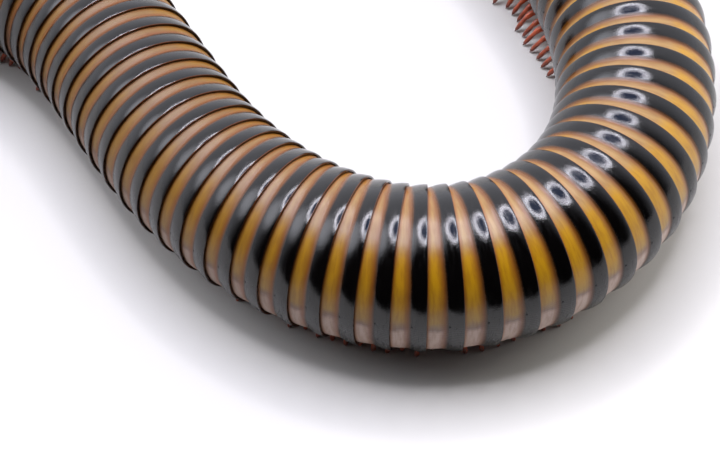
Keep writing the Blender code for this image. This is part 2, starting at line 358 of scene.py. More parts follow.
nothing_selected()
bpy.ops.mesh.primitive_plane_add(size=PANEL_SIDE)
hang("side_panel", PANEL_PLACE, -PANEL_PLACE, make_glow("panel_glow", PANEL_COLOUR, PANEL_STRENGTH), False)
print("lamp", round(lamp_place.z, 2), "m up")

# %% Light the room
ROOM_COLOUR = (0.90, 0.91, 1.0, 1.0)
PAPER_LIGHT = 1.6
ROOM_LIGHT = 0.006
# How far round behind a spot lies: its Y, and a share of how far it is from straight ahead
SIDE_SHARE = 0.25
SIDE_LEAN = 0.15
DARK_UP_TO = -0.30
PAPER_FROM = 0.55
WINDOW_WAY = (-0.68, 0.13, 0.72)
WINDOW_EDGE = 0.91
WINDOW_LIGHT = 4.2

world = bpy.data.worlds.new("studio")
bpy.context.scene.world = world
world.use_nodes = True
room = Nodes(world.node_tree)
sky = room.nodes["Background"]
sky.inputs["Color"].default_value = ROOM_COLOUR
way = room.add("ShaderNodeTexCoord").outputs["Generated"]
split = room.add("ShaderNodeSeparateXYZ", ((0, way),))
beside = room.calculate("ABSOLUTE", room.calculate("ADD", split.outputs["X"], SIDE_LEAN))
round_behind = room.calculate("MULTIPLY_ADD", beside, SIDE_SHARE, split.outputs["Y"])
paper = room.scaled(round_behind, DARK_UP_TO, PAPER_FROM, ROOM_LIGHT, PAPER_LIGHT)
towards = room.add("ShaderNodeVectorMath", ((0, way),), operation="DOT_PRODUCT")
towards.inputs[1].default_value = Vector(WINDOW_WAY).normalized()
window = room.scaled(towards.outputs["Value"], WINDOW_EDGE, 1.0, 0.0, WINDOW_LIGHT)
room.feed(sky.inputs["Strength"], room.calculate("ADD", paper, window))
bpy.context.scene.view_settings.view_transform = "Standard"
bpy.context.scene.view_settings.look = "None"
print("the room has", len(room.nodes), "nodes")

# %% [markdown]
# ## Colours of a ring
#
# Every ring has the same three colours: amber or gold in front, where it comes out from under the ring
# before it, a soft rust-brown edge, and a glossy black band behind. Round the body the front zone goes
# from tan on the back to gold on the flanks and to pale cream low down. The pattern follows the shell,
# so each mesh carries it as numbers on its points: how far before its rear rim and past the seam in
# front, in millimetres, how far round from the back, from 0 to 1 under the belly, how brown with age,
# and a small tone of its own.

# %% The amber in front
TAN = (144, 114, 66)
GOLD = (161, 118, 7)
DULL_GOLD = (150, 118, 54)
# A darker line along the real edge between gold and cream, painted in as the reflection of the shaded floor
PAINTED_REFLECTION_LINE = (120, 100, 88)
CREAM = (172, 150, 138)
BELLY = (160, 132, 116)
RUST = (100, 52, 13)
AGED = (80, 51, 16)
# Painted shade and a painted shadow line on the amber just behind the seam, where the rim of the ring before
# overhangs it
PAINTED_SEAM_SHADE = (134, 74, 14)
PAINTED_SEAM_SHADOW = (30, 14, 6)

banded = Finish("banded_shell")
before_rim = banded.attribute("before_rim")
past_seam = banded.attribute("past_seam")
from_back = banded.attribute("from_back")
tone = banded.attribute("ring_tone")
browning = banded.attribute("browning")
amber = banded.ramp(
    banded.wandering(from_back, 700.0, 3.0, 0.06),
    (0.0, TAN), (0.12, TAN), (0.18, GOLD), (0.38, GOLD), (0.45, DULL_GOLD), (0.485, PAINTED_REFLECTION_LINE),
    (0.51, CREAM), (0.70, CREAM), (0.85, BELLY),
)
# Streaks that run round the ring, laid out on the shell itself and different on each ring
run_round = banded.calculate("MULTIPLY", from_back, 3.0)
own_layer = banded.calculate("MULTIPLY", tone, 50.0)
on_shell = banded.add("ShaderNodeCombineXYZ", (("X", before_rim), ("Y", run_round), ("Z", own_layer)))
streaks = banded.noise(4.5, 4.0, on_shell.outputs[0])
amber = banded.mixed(banded.scaled(streaks, 0.40, 0.68, 0.0, 0.30), amber, RUST)
# Behind the seam the amber is darkened to orange-brown, as painted shade under the overhanging rim
amber = banded.mixed(banded.scaled(past_seam, 0.03, 0.34, 0.75, 0.0), amber, PAINTED_SEAM_SHADE)
# Right at the seam lies a thin painted shadow of the rim
amber = banded.mixed(banded.scaled(past_seam, 0.0, 0.07, 0.8, 0.0), amber, PAINTED_SEAM_SHADOW)
amber = banded.mixed(browning, amber, AGED)
print("amber of", len(banded.nodes), "nodes")

# %% Rust, black, the rim and the pore
BLACK = (4, 3, 3)
RIM_BROWN = (100, 52, 20)
PORE_BLACK = (3, 2, 2)
BLACK_LENGTH = 1.25
PORE_FROM_BACK = 0.466
PORE_BEFORE_RIM = 1.12
HALF_WAY_ROUND = math.pi * 1000 * BODY_RADIUS

# The black is nearly as long all round, so on the inside of a bend it hides most of the amber.
shown = banded.calculate("ADD", before_rim, past_seam)
shorter = banded.calculate(
    "MULTIPLY", banded.scaled(shown, 1.35, 1.90, 0.05, 0.19), banded.scaled(shown, 1.9, 2.5, 1.0, 0.0)
)
edge = banded.calculate("SUBTRACT", banded.calculate("MULTIPLY_ADD", tone, 0.06, BLACK_LENGTH), shorter)
edge = banded.calculate("MULTIPLY_ADD", banded.noise(900.0), 0.12, edge)


def past_edge(start, end):
    """From 0 to 1 towards the rim, between two distances before the edge of the black."""
    return banded.scaled(before_rim, banded.calculate("ADD", edge, start), banded.calculate("ADD", edge, end))


to_rust = past_edge(0.66, 0.08)
to_black = past_edge(0.22, -0.20)
bands = banded.mixed(banded.calculate("MULTIPLY", to_rust, 0.85), amber, RUST)
bands = banded.mixed(to_black, bands, BLACK)
# The rim is brown on the back and as black as the band on the flanks.
brown = banded.scaled(from_back, 0.10, 0.26, 0.9, 0.15)
bands = banded.mixed(banded.scaled(before_rim, 0.008, 0.045, brown, 0.0), bands, RIM_BROWN)
# The pore of the stink gland is a small dark pit low on the flank, just where the black begins.
across = banded.calculate("MULTIPLY_ADD", from_back, HALF_WAY_ROUND, -PORE_FROM_BACK * HALF_WAY_ROUND)
along = banded.calculate("ADD", before_rim, -PORE_BEFORE_RIM)
away = banded.calculate(
    "ADD", banded.calculate("POWER", across, 2.0), banded.calculate("POWER", along, 2.0)
)
pore = banded.scaled(away, 0.004, 0.012, 1.0, 0.0)
banded.set("Base Color", banded.mixed(pore, bands, PORE_BLACK))
print("bands of", len(banded.nodes), "nodes")

# %% Gloss and relief of the shell
GROOVES_ROUND = 26.0
GRAIN_SCALE = 11000.0
WAVE_SCALE = 750.0
SPECK_SCALE = 9000.0

# The black is polished and finely streaked. The amber is duller, most of all on the older rings.
dull = banded.calculate("MULTIPLY_ADD", browning, 0.26, 0.30)
polished = banded.scaled(streaks, 0.40, 0.68, 0.07, 0.19)
rough = banded.scaled(before_rim, 1.05, 1.32, polished, dull)
specks = banded.scaled(banded.noise(SPECK_SCALE), 0.45, 0.75, 0.0, 0.08)
specks = banded.calculate("MULTIPLY_ADD", pore, 0.5, specks)
specks = banded.calculate("ADD", specks, banded.scaled(from_back, 0.34, 0.48, 0.0, 0.10))
banded.set("Roughness", banded.calculate("ADD", rough, specks))
# Fine lengthwise grooves on the low flanks, a grain all over that is coarsest on the black, and low waves
hardly_along = banded.calculate("MULTIPLY", before_rim, 0.01)
place = banded.add("ShaderNodeCombineXYZ", (("X", from_back), ("Y", hardly_along)))
groove = banded.add(
    "ShaderNodeTexWave",
    (("Scale", GROOVES_ROUND), ("Distortion", 1.2), ("Vector", place.outputs[0])),
    wave_type="BANDS",
    bands_direction="X",
)
low_down = banded.scaled(from_back, 0.38, 0.55)
grooves = banded.calculate("MULTIPLY", groove.outputs["Fac"], low_down)
grain = banded.calculate("MULTIPLY", banded.noise(GRAIN_SCALE), banded.scaled(to_black, 0.0, 1.0, 0.35, 1.15))
height = banded.calculate("MULTIPLY_ADD", grooves, 1.2, grain)
height = banded.calculate("MULTIPLY_ADD", pore, -6.0, height)
height = banded.calculate("MULTIPLY_ADD", banded.noise(WAVE_SCALE), 3.0, height)
banded.bump(height, 0.00001, 0.6)
banded.set("IOR", 1.5)
banded.set("Specular IOR Level", 0.45)
print("made", banded.material.name)

# %% [markdown]
# ## One ring
#
# A ring is a short tube whose hind rim is raised and covers the front of the next ring. We model one
# ring once, straight and one unit long: a circle is extruded step by step along its outline, each step
# scaled to the radius there, and the last round is bridged to the first so that the shell is closed.
# The same call can close both ends with a face instead, for legs, feelers and the skin.

# %% The outline of a ring
RIGID_LENGTH = 0.00150
AMBER_RADIUS = 0.957
FRONT_OUTLINE = (
    (-1.0, 0.930), (-0.92, 0.950), (-0.80, 0.9625), (-0.66, 0.9622), (-0.50, 0.9612), (-0.30, 0.9598),
    (-0.12, 0.9585),
)
# Millimetres before the rear rim, and how steeply the shell rises there towards the rim, in degrees
RIM_SLOPES = (
    (1.50, -2), (1.42, 8), (1.34, 22), (1.25, 22), (1.12, 18), (1.0, 16.5), (0.85, 14), (0.60, 10),
    (0.45, 7.5), (0.30, 4.2), (0.20, 1.2), (0.10, -2.5), (0.05, -6), (0.02, -15), (0.0, -45),
)
RIM_STEPS = (
    1.50, 1.44, 1.38, 1.32, 1.26, 1.18, 1.08, 0.98, 0.88, 0.78, 0.68, 0.58, 0.48, 0.38, 0.29, 0.21,
    0.14, 0.09, 0.055, 0.03, 0.012, 0.0,
)
# The lower edge of the rim's rear face, above the widest amber of the next ring, in body radii
RIM_ABOVE_AMBER = 0.008


def slope_at(before_rim):
    stations = [(-place, slope) for place, slope in RIM_SLOPES]
    return math.radians(between(stations, -before_rim))


def ring_outline():
    """Where each round lies and its radius in body radii.

    From -1, the hidden front edge, to 0 the ring stretches with the bend. From 0 to 1, the rear rim,
    it is rigid. Then the outline runs back along the inside.
    """
    outline = list(FRONT_OUTLINE)
    radius = AMBER_RADIUS
    for place, after in zip(RIM_STEPS, RIM_STEPS[1:] + (None,)):
        outline.append((1.0 - place / (1000 * RIGID_LENGTH), radius))
        if after is not None:
            rise = (place - after) * math.tan((slope_at(place) + slope_at(after)) / 2)
            radius += rise / (1000 * BODY_RADIUS)
    peak = max(radius for _, radius in outline)
    outline = [(place, radius + 1.0 - peak) for place, radius in outline]
    inner = outline[2][1] + RIM_ABOVE_AMBER
    return outline + [
        (0.999, inner + 0.006), (0.985, inner + 0.002), (0.94, inner + 0.001), (0.5, 0.950), (-1.0, 0.915)
    ]


RING_OUTLINE = ring_outline()
print("the outline has", len(RING_OUTLINE), "rounds")

# %% Model the ring by extruding a circle
RING_SIDES = 112


def select_only(*pieces):
    nothing_selected()
    for piece in pieces:
        piece.select_set(True)
    bpy.context.view_layer.objects.active = pieces[0]


def face_outwards(piece):
    select_only(piece)
    edit_all()
    bpy.ops.mesh.normals_make_consistent(inside=False)
    bpy.ops.object.mode_set(mode="OBJECT")


def extrude_round(outline, sides, name, ends=False):
    """A circle round the X axis, extruded through (place, radius) rounds.

    With ends, a face closes the first round and the last. Otherwise the last is bridged to the first.
    """
    nothing_selected()
    bpy.ops.mesh.primitive_circle_add(
        vertices=sides,
        radius=outline[0][1],
        location=(outline[0][0], 0.0, 0.0),
        rotation=(0.0, math.radians(90), 0.0),
        fill_type="NGON" if ends else "NOTHING",
    )
    piece = bpy.context.active_object
    piece.name = name
    bpy.ops.object.transform_apply(location=True, rotation=True, scale=True)
    edit_all()
    extrude = bpy.ops.mesh.extrude_region_move if ends else bpy.ops.mesh.extrude_edges_move
    for (along, radius), (after, next_radius) in zip(outline, outline[1:]):
        extrude(TRANSFORM_OT_translate={"value": (after - along, 0.0, 0.0)})
        grow = next_radius / radius
        bpy.ops.transform.resize(value=(1.0, grow, grow), center_override=(after, 0.0, 0.0))
    if not ends:
        bpy.ops.mesh.select_all(action="DESELECT")
        bpy.ops.mesh.select_non_manifold()
        bpy.ops.mesh.bridge_edge_loops()
    face_outwards(piece)
    return piece


ring_master = extrude_round(RING_OUTLINE, RING_SIDES, "ring_master")
print("one ring has", len(ring_master.data.polygons), "faces")

# %% [markdown]
# ## Lay the rings along the body
#
# Each ring is a copy of the master with its own mesh. Every point of the copy is moved to the bent
# line: its place along the ring picks the spot on the line, and its height and side are measured from
# there. The belly is pressed flat. Small differences in girth keep the rings from looking stamped.

# %% Bend a copy onto the line
RING_JITTER = 0.0025
HIDDEN_SHARE = 0.13
LEAST_FRONT_SHARE = 0.10
BROWNING = ((0, 0.68), (17, 0.62), (25, 0.25), (28, 0.08), (33, 0.0), (38, 0.10), (54, 0.22))
draw = random.Random(7)


def store_number(piece, name, values):
    """Stores one number a point, or the same number on every point."""
    if isinstance(values, (int, float)):
        values = [values] * len(piece.data.vertices)
    layer = piece.data.attributes.get(name) or piece.data.attributes.new(name, "FLOAT", "POINT")
    layer.data.foreach_set("value", values)


def own_copy(master, name):
    copy = bpy.data.objects.new(name, master.data.copy())
    bpy.context.scene.collection.objects.link(copy)
    return copy


def smooth_shade(piece, sharp_from=None):
    piece.data.shade_smooth()
    if sharp_from:
        piece.data.set_sharp_from_angle(angle=math.radians(sharp_from))


def bend_ring(master, name, ring):
    piece = own_copy(master, name)
    wide = 1.0 - draw.uniform(0.0, RING_JITTER)
    tone = draw.uniform(-1.0, 1.0)
    front = frame_at(ring)
    back = frame_at(ring + 1)
    before_rim = []
    past_seam = []
    around = []
    for vert in piece.data.vertices:
        spot, y, z = vert.co
        around.append(abs(math.atan2(y, z)) / math.pi)
        # How much of the ring shows at this distance to the left of the middle line
        side = Vector((0.0, BODY_RADIUS * y, 0.0))
        shown = (back @ side - front @ side).length
        rigid_share = 1.0 - RIGID_LENGTH / shown
        front_share = min(-HIDDEN_SHARE, rigid_share - LEAST_FRONT_SHARE)
        if spot >= 0.0:
            share = 1.0 - (1.0 - spot) * RIGID_LENGTH / shown
        else:
            share = rigid_share + (front_share - rigid_share) * -spot
        before_rim.append(1000 * (1.0 - share) * shown)
        past_seam.append(1000 * share * shown)
        girth = BODY_RADIUS * wide * between(GIRTHS, ring + share)
        height = max(girth * z, -BELLY_FLAT * girth * math.hypot(y, z))
        vert.co = frame_at(ring + share) @ Vector((0.0, girth * y, height))
    store_number(piece, "before_rim", before_rim)
    store_number(piece, "past_seam", past_seam)
    store_number(piece, "from_back", around)
    store_number(piece, "ring_tone", tone)
    store_number(piece, "browning", between(BROWNING, ring))
    piece.data.materials.append(banded.material)
    smooth_shade(piece, 50)
    return piece


def dress(piece, slot, *nodes):
    """Says what the piece rides on and hides the solids that it stands for. The slot, for its finish, is not
    used.
    """
    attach(piece, "root")
    if nodes:
        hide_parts(*nodes)


for ring in range(RING_COUNT):
    shell = bend_ring(ring_master, f"ring_{ring + 1:02d}", ring)
    dress(shell, "ring_shell", f"body_length_{ring // RINGS_A_LENGTH + 1}")
bpy.data.objects.remove(ring_master)
print("laid", RING_COUNT, "rings")

# %% [markdown]
# ## The skin between the rings
#
# Under the hard rings lies one soft brown skin from neck to tail. It shows only as a thin dark line in
# the seams, but without it one could look through them. It is a disc extruded twice for every ring and
# laid on the same line as the rings.

# %% One long skin
SKIN_RADIUS = 0.935
SKIN_BELLY_FLAT = 0.90
SKIN_ROUNDS_A_RING = 2
SKIN_ENDS_BEFORE_TAIL = 0.2


def make_skin():
    rounds = [(k / SKIN_ROUNDS_A_RING, 1.0) for k in range(RING_COUNT * SKIN_ROUNDS_A_RING + 1)]
    skin = extrude_round(rounds, 48, "inner_skin", ends=True)
    for vert in skin.data.vertices:
        ring = min(vert.co.x, RING_COUNT - SKIN_ENDS_BEFORE_TAIL)
        girth = BODY_RADIUS * SKIN_RADIUS * between(GIRTHS, ring)
        height = max(girth * vert.co.z, -SKIN_BELLY_FLAT * girth)
        vert.co = frame_at(ring) @ Vector((0.0, girth * vert.co.y, height))
    finish = Finish("soft_brown_skin")
    fold = finish.noise(2500.0, 4.0)
    finish.set("Base Color", finish.mixed(fold, (26, 12, 7), (58, 28, 14)))
    finish.set("Roughness", 0.55)
    finish.bump(fold, 0.00005)
    skin.data.materials.append(finish.material)
    smooth_shade(skin)
    return skin


skin = make_skin()
dress(skin, "head_shell")
print("skin of", len(skin.data.polygons), "faces")

# %% [markdown]
# ## Legs
#
# Behind the first three rings every ring carries two pairs of legs, so there are about two hundred.
# One leg is modelled straight, as a seven-sided tube of articles that swell and narrow and end in a
# claw. Each copy is then bent over its own knee down to the floor. Legs are rust red, darker at the hip
# and the claw, and a little light goes through them, so their finish has some subsurface.

# %% Model one straight leg
LEG_SIDES = 7
# Along the leg, and radius in leg thicknesses: the hip, five articles with tight joints, and the claw
LEG_OUTLINE = (
    (0.00, 1.00), (0.22, 1.05), (0.25, 0.80), (0.36, 1.08), (0.42, 0.98), (0.44, 0.76), (0.55, 0.98),
    (0.60, 0.88), (0.62, 0.68), (0.71, 0.86), (0.76, 0.76), (0.78, 0.58), (0.88, 0.66), (0.95, 0.46),
    (0.96, 0.26), (1.00, 0.07),
)

leg_master = extrude_round(LEG_OUTLINE, LEG_SIDES, "leg_master", ends=True)
store_number(leg_master, "along_leg", [vert.co.x for vert in leg_master.data.vertices])
print("one leg has", len(leg_master.data.polygons), "faces")

# %% Colour of the legs
leg_finish = Finish("rust_red_legs")
leg_colour = leg_finish.ramp(
    leg_finish.attribute("along_leg"),
    (0.0, (120, 48, 30)), (0.35, (178, 78, 48)), (0.75, (192, 90, 54)), (1.0, (96, 40, 26)),
)
patch = leg_finish.scaled(leg_finish.noise(1800.0, 3.0), 0.35, 0.75, 0.0, 0.55)
leg_finish.set("Base Color", leg_finish.mixed(patch, leg_colour, (74, 30, 22)))
leg_finish.set("Roughness", 0.32)
leg_finish.set("Subsurface Weight", 0.15)
leg_finish.shader.inputs["Subsurface Radius"].default_value = (0.0006, 0.0002, 0.0001)
leg_finish.bump(leg_finish.noise(5200.0, 3.0), 0.00003)
print("made", leg_finish.material.name)

# %% Bend and place all the legs
# Ring number, and how far out a claw stands, in body radii
LEFT_SPREADS = (
    (0, 1.05), (7, 0.95), (16, 1.1), (27, 0.85), (42, 0.80), (43.8, 0.80), (44.5, 0.92), (48, 0.95),
    (54, 1.1),
)
RIGHT_SPREADS = ((0, 1.05), (7, 0.62), (16, 0.48), (28, 0.43), (44, 0.50), (54, 0.95))
LEG_THICKNESS = 0.00032
ONE_PAIR_RINGS = 3
LEGLESS_RINGS = 2
LEG_SWING = 0.00022
LEGS_A_WAVE = 14
CLAW_LIFT = 0.00007
LEG_REACH_JITTER = 0.07
# Side and height of the leg's root and of its turn out of the body, in body radii
LEG_ROOT = (0.14, -0.62)
LEG_TURN = (0.27, -0.99)
# The knee's share of the way from a side to the claw, its depth, and how a wide leg lifts it
KNEE_FROM = 0.20
KNEE_SHARE = 0.66
KNEE_DEPTH = 1.02
KNEE_LIFT = 0.32
AHEAD = 0.02


def smooth_point(points, share):
    """A point on the smooth curve through the points, share 0 to 1 along it."""
    last = len(points) - 1
    position = min(max(share, 0.0), 1.0) * last
    k = min(int(position), last - 1)
    t = position - k
    before, start, end, after = (points[min(max(k + d, 0), last)] for d in (-1, 0, 1, 2))
    bend_in = 2 * before - 5 * start + 4 * end - after
    bend_out = 3 * start - before - 3 * end + after
    return 0.5 * (2 * start + (end - before) * t + bend_in * t * t + bend_out * t * t * t)


def way_at(points, share):
    return smooth_point(points, share + AHEAD) - smooth_point(points, share - AHEAD)


def bend_along(mesh, route, thickness):
    """Lays a mesh that runs from X = 0 to 1 along a route of points, its thickness in metres."""
    for vert in mesh.vertices:
        share = vert.co.x
        turn = way_at(route, share).to_track_quat("X", "Z")
        across = Vector((0.0, vert.co.y * thickness, vert.co.z * thickness))
        vert.co = smooth_point(route, share) + turn @ across


def leg_route(ring, left, count):
    spread = BODY_RADIUS * between(LEFT_SPREADS if left else RIGHT_SPREADS, ring)
    spread += BODY_RADIUS * draw.uniform(-LEG_REACH_JITTER, LEG_REACH_JITTER)
    hand = 1 if left else -1
    swing = LEG_SWING * math.sin(math.tau * count / LEGS_A_WAVE)
    reach = spread / BODY_RADIUS
    knee_side = KNEE_FROM * BODY_RADIUS + KNEE_SHARE * (spread - KNEE_FROM * BODY_RADIUS)
    knee_height = -BODY_RADIUS * (KNEE_DEPTH - KNEE_LIFT * max(reach - 0.5, 0.0))
    points = (
        (0.0, LEG_ROOT[0] * BODY_RADIUS, LEG_ROOT[1] * BODY_RADIUS),
        (0.0, LEG_TURN[0] * BODY_RADIUS, LEG_TURN[1] * BODY_RADIUS),
        (0.4 * swing, knee_side, knee_height),
        (swing, spread, CLAW_LIFT - AXIS_HEIGHT),
    )
    place = frame_at(ring)
    return [place @ Vector((along, hand * side, height)) for along, side, height in points]


def leg_rings():
    places = []
    for ring in range(RING_COUNT - LEGLESS_RINGS):
        shares = (0.55,) if ring < ONE_PAIR_RINGS else (0.30, 0.80)
        places += [ring + share for share in shares]
    return places


def join(pieces, name):
    select_only(*pieces)
    if len(pieces) > 1:
        bpy.ops.object.join()
    joined = bpy.context.view_layer.objects.active
    joined.name = name
    joined.data.name = name
    return joined


legs_of_length = {}
for count, ring in enumerate(leg_rings()):
    for left in (True, False):
        leg = own_copy(leg_master, "leg")
        bend_along(leg.data, leg_route(ring, left, count), LEG_THICKNESS)
        leg.data.materials.append(leg_finish.material)
        smooth_shade(leg)
        legs_of_length.setdefault(int(ring) // RINGS_A_LENGTH, []).append(leg)
bpy.data.objects.remove(leg_master)
for number, legs in legs_of_length.items():
    row = join(legs, f"legs_{number + 1}")
    dress(row, "leg_shell", f"body_length_{number + 1}")
print("placed", sum(map(len, legs_of_length.values())), "legs")

# %% [markdown]
# ## The neck shield
#
# Behind the head sits the first shield. It is no full ring: it hoods the back of the head, is longest
# over the back and narrows down the sides. So it is extruded from a circle like a ring, and then each
# point is pulled back by how far round it lies. Its colours run like those of a ring, with a pale
# margin in front.

# %% Model the neck shield
SHIELD_LENGTH = 4.1
SHIELD_TILT = -0.16
SHIELD_SIDES = 112
# Share of the length ahead and radius in body radii: round the rear rim, over the outside, back inside
SHIELD_OUTLINE = (
    (0.000, 0.972), (0.000, 0.988), (0.010, 0.9970), (0.03, 1.0), (0.10, 1.0), (0.20, 0.996), (0.32, 0.984),
    (0.44, 0.966), (0.56, 0.941), (0.67, 0.911), (0.76, 0.880), (0.84, 0.848), (0.90, 0.820), (0.93, 0.803),
    (0.945, 0.793), (0.96, 0.791), (0.98, 0.785), (0.995, 0.776), (1.0, 0.765), (0.99, 0.752),
    (0.92, 0.775), (0.6, 0.880), (0.2, 0.945), (0.03, 0.955),
)
# Share of half the way round from the back, and share of the full length there
SHIELD_COVER = ((0.0, 1.0), (0.3, 0.97), (0.45, 0.86), (0.58, 0.62), (0.68, 0.38), (0.80, 0.24), (1.0, 0.2))


def make_shield():
    shield = extrude_round(SHIELD_OUTLINE, SHIELD_SIDES, "neck_hood")
    around = []
    ahead_of_rim = []
    for vert in shield.data.vertices:
        share, y, z = vert.co
        turn = abs(math.atan2(y, z)) / math.pi
        ahead = SHIELD_LENGTH * share * between(SHIELD_COVER, turn) / 1000
        girth = BODY_RADIUS * GIRTHS[0][1]
        height = max(girth * z, -BELLY_FLAT * girth * math.hypot(y, z))
        along = -ahead + SHIELD_TILT * share * height * between(SHIELD_COVER, turn)
        around.append(turn)
        ahead_of_rim.append(share)
        vert.co = frame_at(0) @ Vector((along, girth * y, height))
    store_number(shield, "from_back", around)
    store_number(shield, "along_shield", ahead_of_rim)
    smooth_shade(shield, 55)
    return shield


def make_shield_finish():
    finish = Finish("neck_shield_shell")
    colour = finish.ramp(
        finish.wandering(finish.attribute("along_shield"), 700.0, 4.0, 0.16),
        (0.0, RIM_BROWN), (0.02, BLACK), (0.30, BLACK), (0.42, RUST), (0.52, (112, 62, 22)),
        (0.80, (120, 70, 26)), (0.90, (150, 96, 40)), (1.0, (160, 112, 60)),
    )
    low = finish.scaled(finish.attribute("from_back"), 0.42, 0.60)
    colour = finish.mixed(low, colour, (120, 92, 72))
    mottle = finish.scaled(finish.noise(2400.0, 4.0), 0.35, 0.75, 0.0, 0.35)
    finish.set("Base Color", finish.mixed(mottle, colour, (40, 18, 8)))
    finish.grained(8000.0, 3.0, 0.4, 0.14, 0.26, 0.00001)
    return finish.material


shield = make_shield()
shield.data.materials.append(make_shield_finish())
dress(shield, "ring_shell", "neck_shield")
print("neck shield of", len(shield.data.polygons), "faces")

# %% [markdown]
# ## The head
#
# The head is a rounded capsule that looks down: cheeks that hold the jaws at its sides, a lip with a
# notch in front, and plates below. Such a swelling form is easiest as a few overlapping balls. A voxel
# remesh turns them into one skin, a smooth modifier melts the joins, and the finest marks are pressed
# into it by moving points. It is nearly black above and brown towards the lip.

# %% Join balls into a head
HEAD_BACK = 0.0044
HEAD_VOXEL = 0.15
# Centre ahead, aside and up, then half sizes, in millimetres
HEAD_MASSES = (
    ((-0.6, 0.0, 0.6), (3.6, 4.75, 4.8)),
    ((1.1, 0.0, -0.6), (3.4, 4.5, 4.9)),
    ((2.2, 0.0, -2.6), (2.3, 3.2, 3.2)),
    ((3.1, 0.0, -4.3), (1.5, 2.5, 1.3)),
    ((0.6, 0.0, -4.4), (2.9, 3.0, 1.1)),
    ((-1.8, 0.0, -1.2), (3.6, 4.9, 4.5)),
)
CHEEK_MASS = ((1.6, 3.35, -2.9), (2.5, 1.75, 2.6))
KNOB_MASS = ((3.55, 3.60, 0.05), (0.75, 0.75, 0.75))


def head_frame():
    """At the back of the head, X runs ahead, Y to the body's left and Z up."""
    return frame_at(0) @ Matrix.Translation((-HEAD_BACK, 0.0, 0.0)) @ Matrix.Scale(-1, 4, (1, 0, 0))


def add_ball(place, size, segments=48, rings=32):
    nothing_selected()
    bpy.ops.mesh.primitive_uv_sphere_add(
        segments=segments, ring_count=rings, radius=1.0, location=place, scale=size
    )
    made = bpy.context.active_object
    bpy.ops.object.transform_apply(location=True, rotation=True, scale=True)
    return made


def apply_modifier(piece, kind, **settings):
    select_only(piece)
    modifier = piece.modifiers.new(kind.lower(), kind)
    for name, value in settings.items():
        setattr(modifier, name, value)
    bpy.ops.object.modifier_apply(modifier=modifier.name)


balls = [add_ball(place, size) for place, size in HEAD_MASSES]
for hand in (1, -1):
    for (ahead, side, up), size in (CHEEK_MASS, KNOB_MASS):
        balls.append(add_ball((ahead, hand * side, up), size))
head = join(balls, "head_capsule")
apply_modifier(head, "REMESH", mode="VOXEL", voxel_size=HEAD_VOXEL, use_smooth_shade=True)
apply_modifier(head, "SMOOTH", factor=0.5, iterations=8)
print("head of", len(head.data.polygons), "faces")

# %% Press the fine marks into the head
# How deep each mark goes and how wide it is, in millimetres
MIDDLE_SEAM = (0.10, 0.13)
LIP_PIT = (0.16, 0.16)
LIP_SEAM = (0.14, 0.14)
CHEEK_SEAM = (0.10, 0.16)
LIP_NOTCH = (0.62, 0.62)
# Where they lie: aside, how far up, how far ahead
PITS_ASIDE = (-1.9, -0.65, 0.65, 1.9)
PITS_UP = -3.95
LIP_SEAM_UP = -3.15
LIP_SEAM_BOW = 0.12
LIP_FROM = 2.0
CHEEK_CENTRE = (1.2, -2.4)
CHEEK_SEAM_RADIUS = 2.35
CHEEK_FLATNESS = 0.55
CHEEK_FROM = 3.2
SEAM_ENDS_UP = -4.2
NOTCH_UP = -4.6
NOTCH_FROM = 1.8
NOTCH_FADE = 0.7


def dip(distance, width):
    return math.exp(-((distance / width) ** 2))


def pressed(x, y, z):
    """How far a point of the head is pressed in, in millimetres."""
    press = 0.0
    if x > 0.0 and z > SEAM_ENDS_UP:
        press += MIDDLE_SEAM[0] * dip(y, MIDDLE_SEAM[1])
    if x > LIP_FROM:
        for pit in PITS_ASIDE:
            press += LIP_PIT[0] * dip(math.hypot(y - pit, z - PITS_UP), LIP_PIT[1])
        press += LIP_SEAM[0] * dip(z - LIP_SEAM_UP - LIP_SEAM_BOW * y * y, LIP_SEAM[1])
    if abs(y) > CHEEK_FROM:
        from_centre = math.hypot(x - CHEEK_CENTRE[0], CHEEK_FLATNESS * (z - CHEEK_CENTRE[1]))
        press += CHEEK_SEAM[0] * dip(from_centre - CHEEK_SEAM_RADIUS, CHEEK_SEAM[1])
    return press


for vert in head.data.vertices:
    x, y, z = vert.co
    vert.co -= vert.normal * pressed(x, y, z)
    if z < NOTCH_UP and x > NOTCH_FROM:
        vert.co.z += LIP_NOTCH[0] * dip(y, LIP_NOTCH[1]) * min((NOTCH_UP - z) / NOTCH_FADE, 1.0)
apply_modifier(head, "SMOOTH", factor=0.3, iterations=1)
print("marks pressed into", head.name)

# %% Colour the head and lay it in place
HEAD_BOTTOM = -5.6
HEAD_HEIGHT = 11.0


def lay_in_frame(piece, matrix):
    """Moves a mesh made in millimetres into a frame in metres, with its faces outwards."""
    for vert in piece.data.vertices:
        vert.co = matrix @ (vert.co / 1000)
    face_outwards(piece)


def make_head_finish():
    finish = Finish("dark_head_shell")
    colour = finish.ramp(
        finish.wandering(finish.attribute("head_height"), 500.0, 4.0, 0.16),
        (0.0, (120, 66, 36)), (0.12, (92, 46, 24)), (0.30, (44, 22, 12)), (0.55, (22, 12, 8)),
        (1.0, (14, 8, 6)),
    )
    mottle = finish.scaled(finish.noise(1900.0, 5.0), 0.45, 0.75, 0.0, 0.4)
    finish.set("Base Color", finish.mixed(mottle, colour, (70, 34, 18)))
    finish.grained(6000.0, 4.0, 0.35, 0.16, 0.30, 0.00003)
    return finish.material


heights = [(vert.co.z - HEAD_BOTTOM) / HEAD_HEIGHT for vert in head.data.vertices]
store_number(head, "head_height", heights)
lay_in_frame(head, head_frame())
head_material = make_head_finish()
head.data.materials.append(head_material)
smooth_shade(head)
dress(head, "head_shell", "head")
print("head coloured from", round(min(heights), 2), "to", round(max(heights), 2))

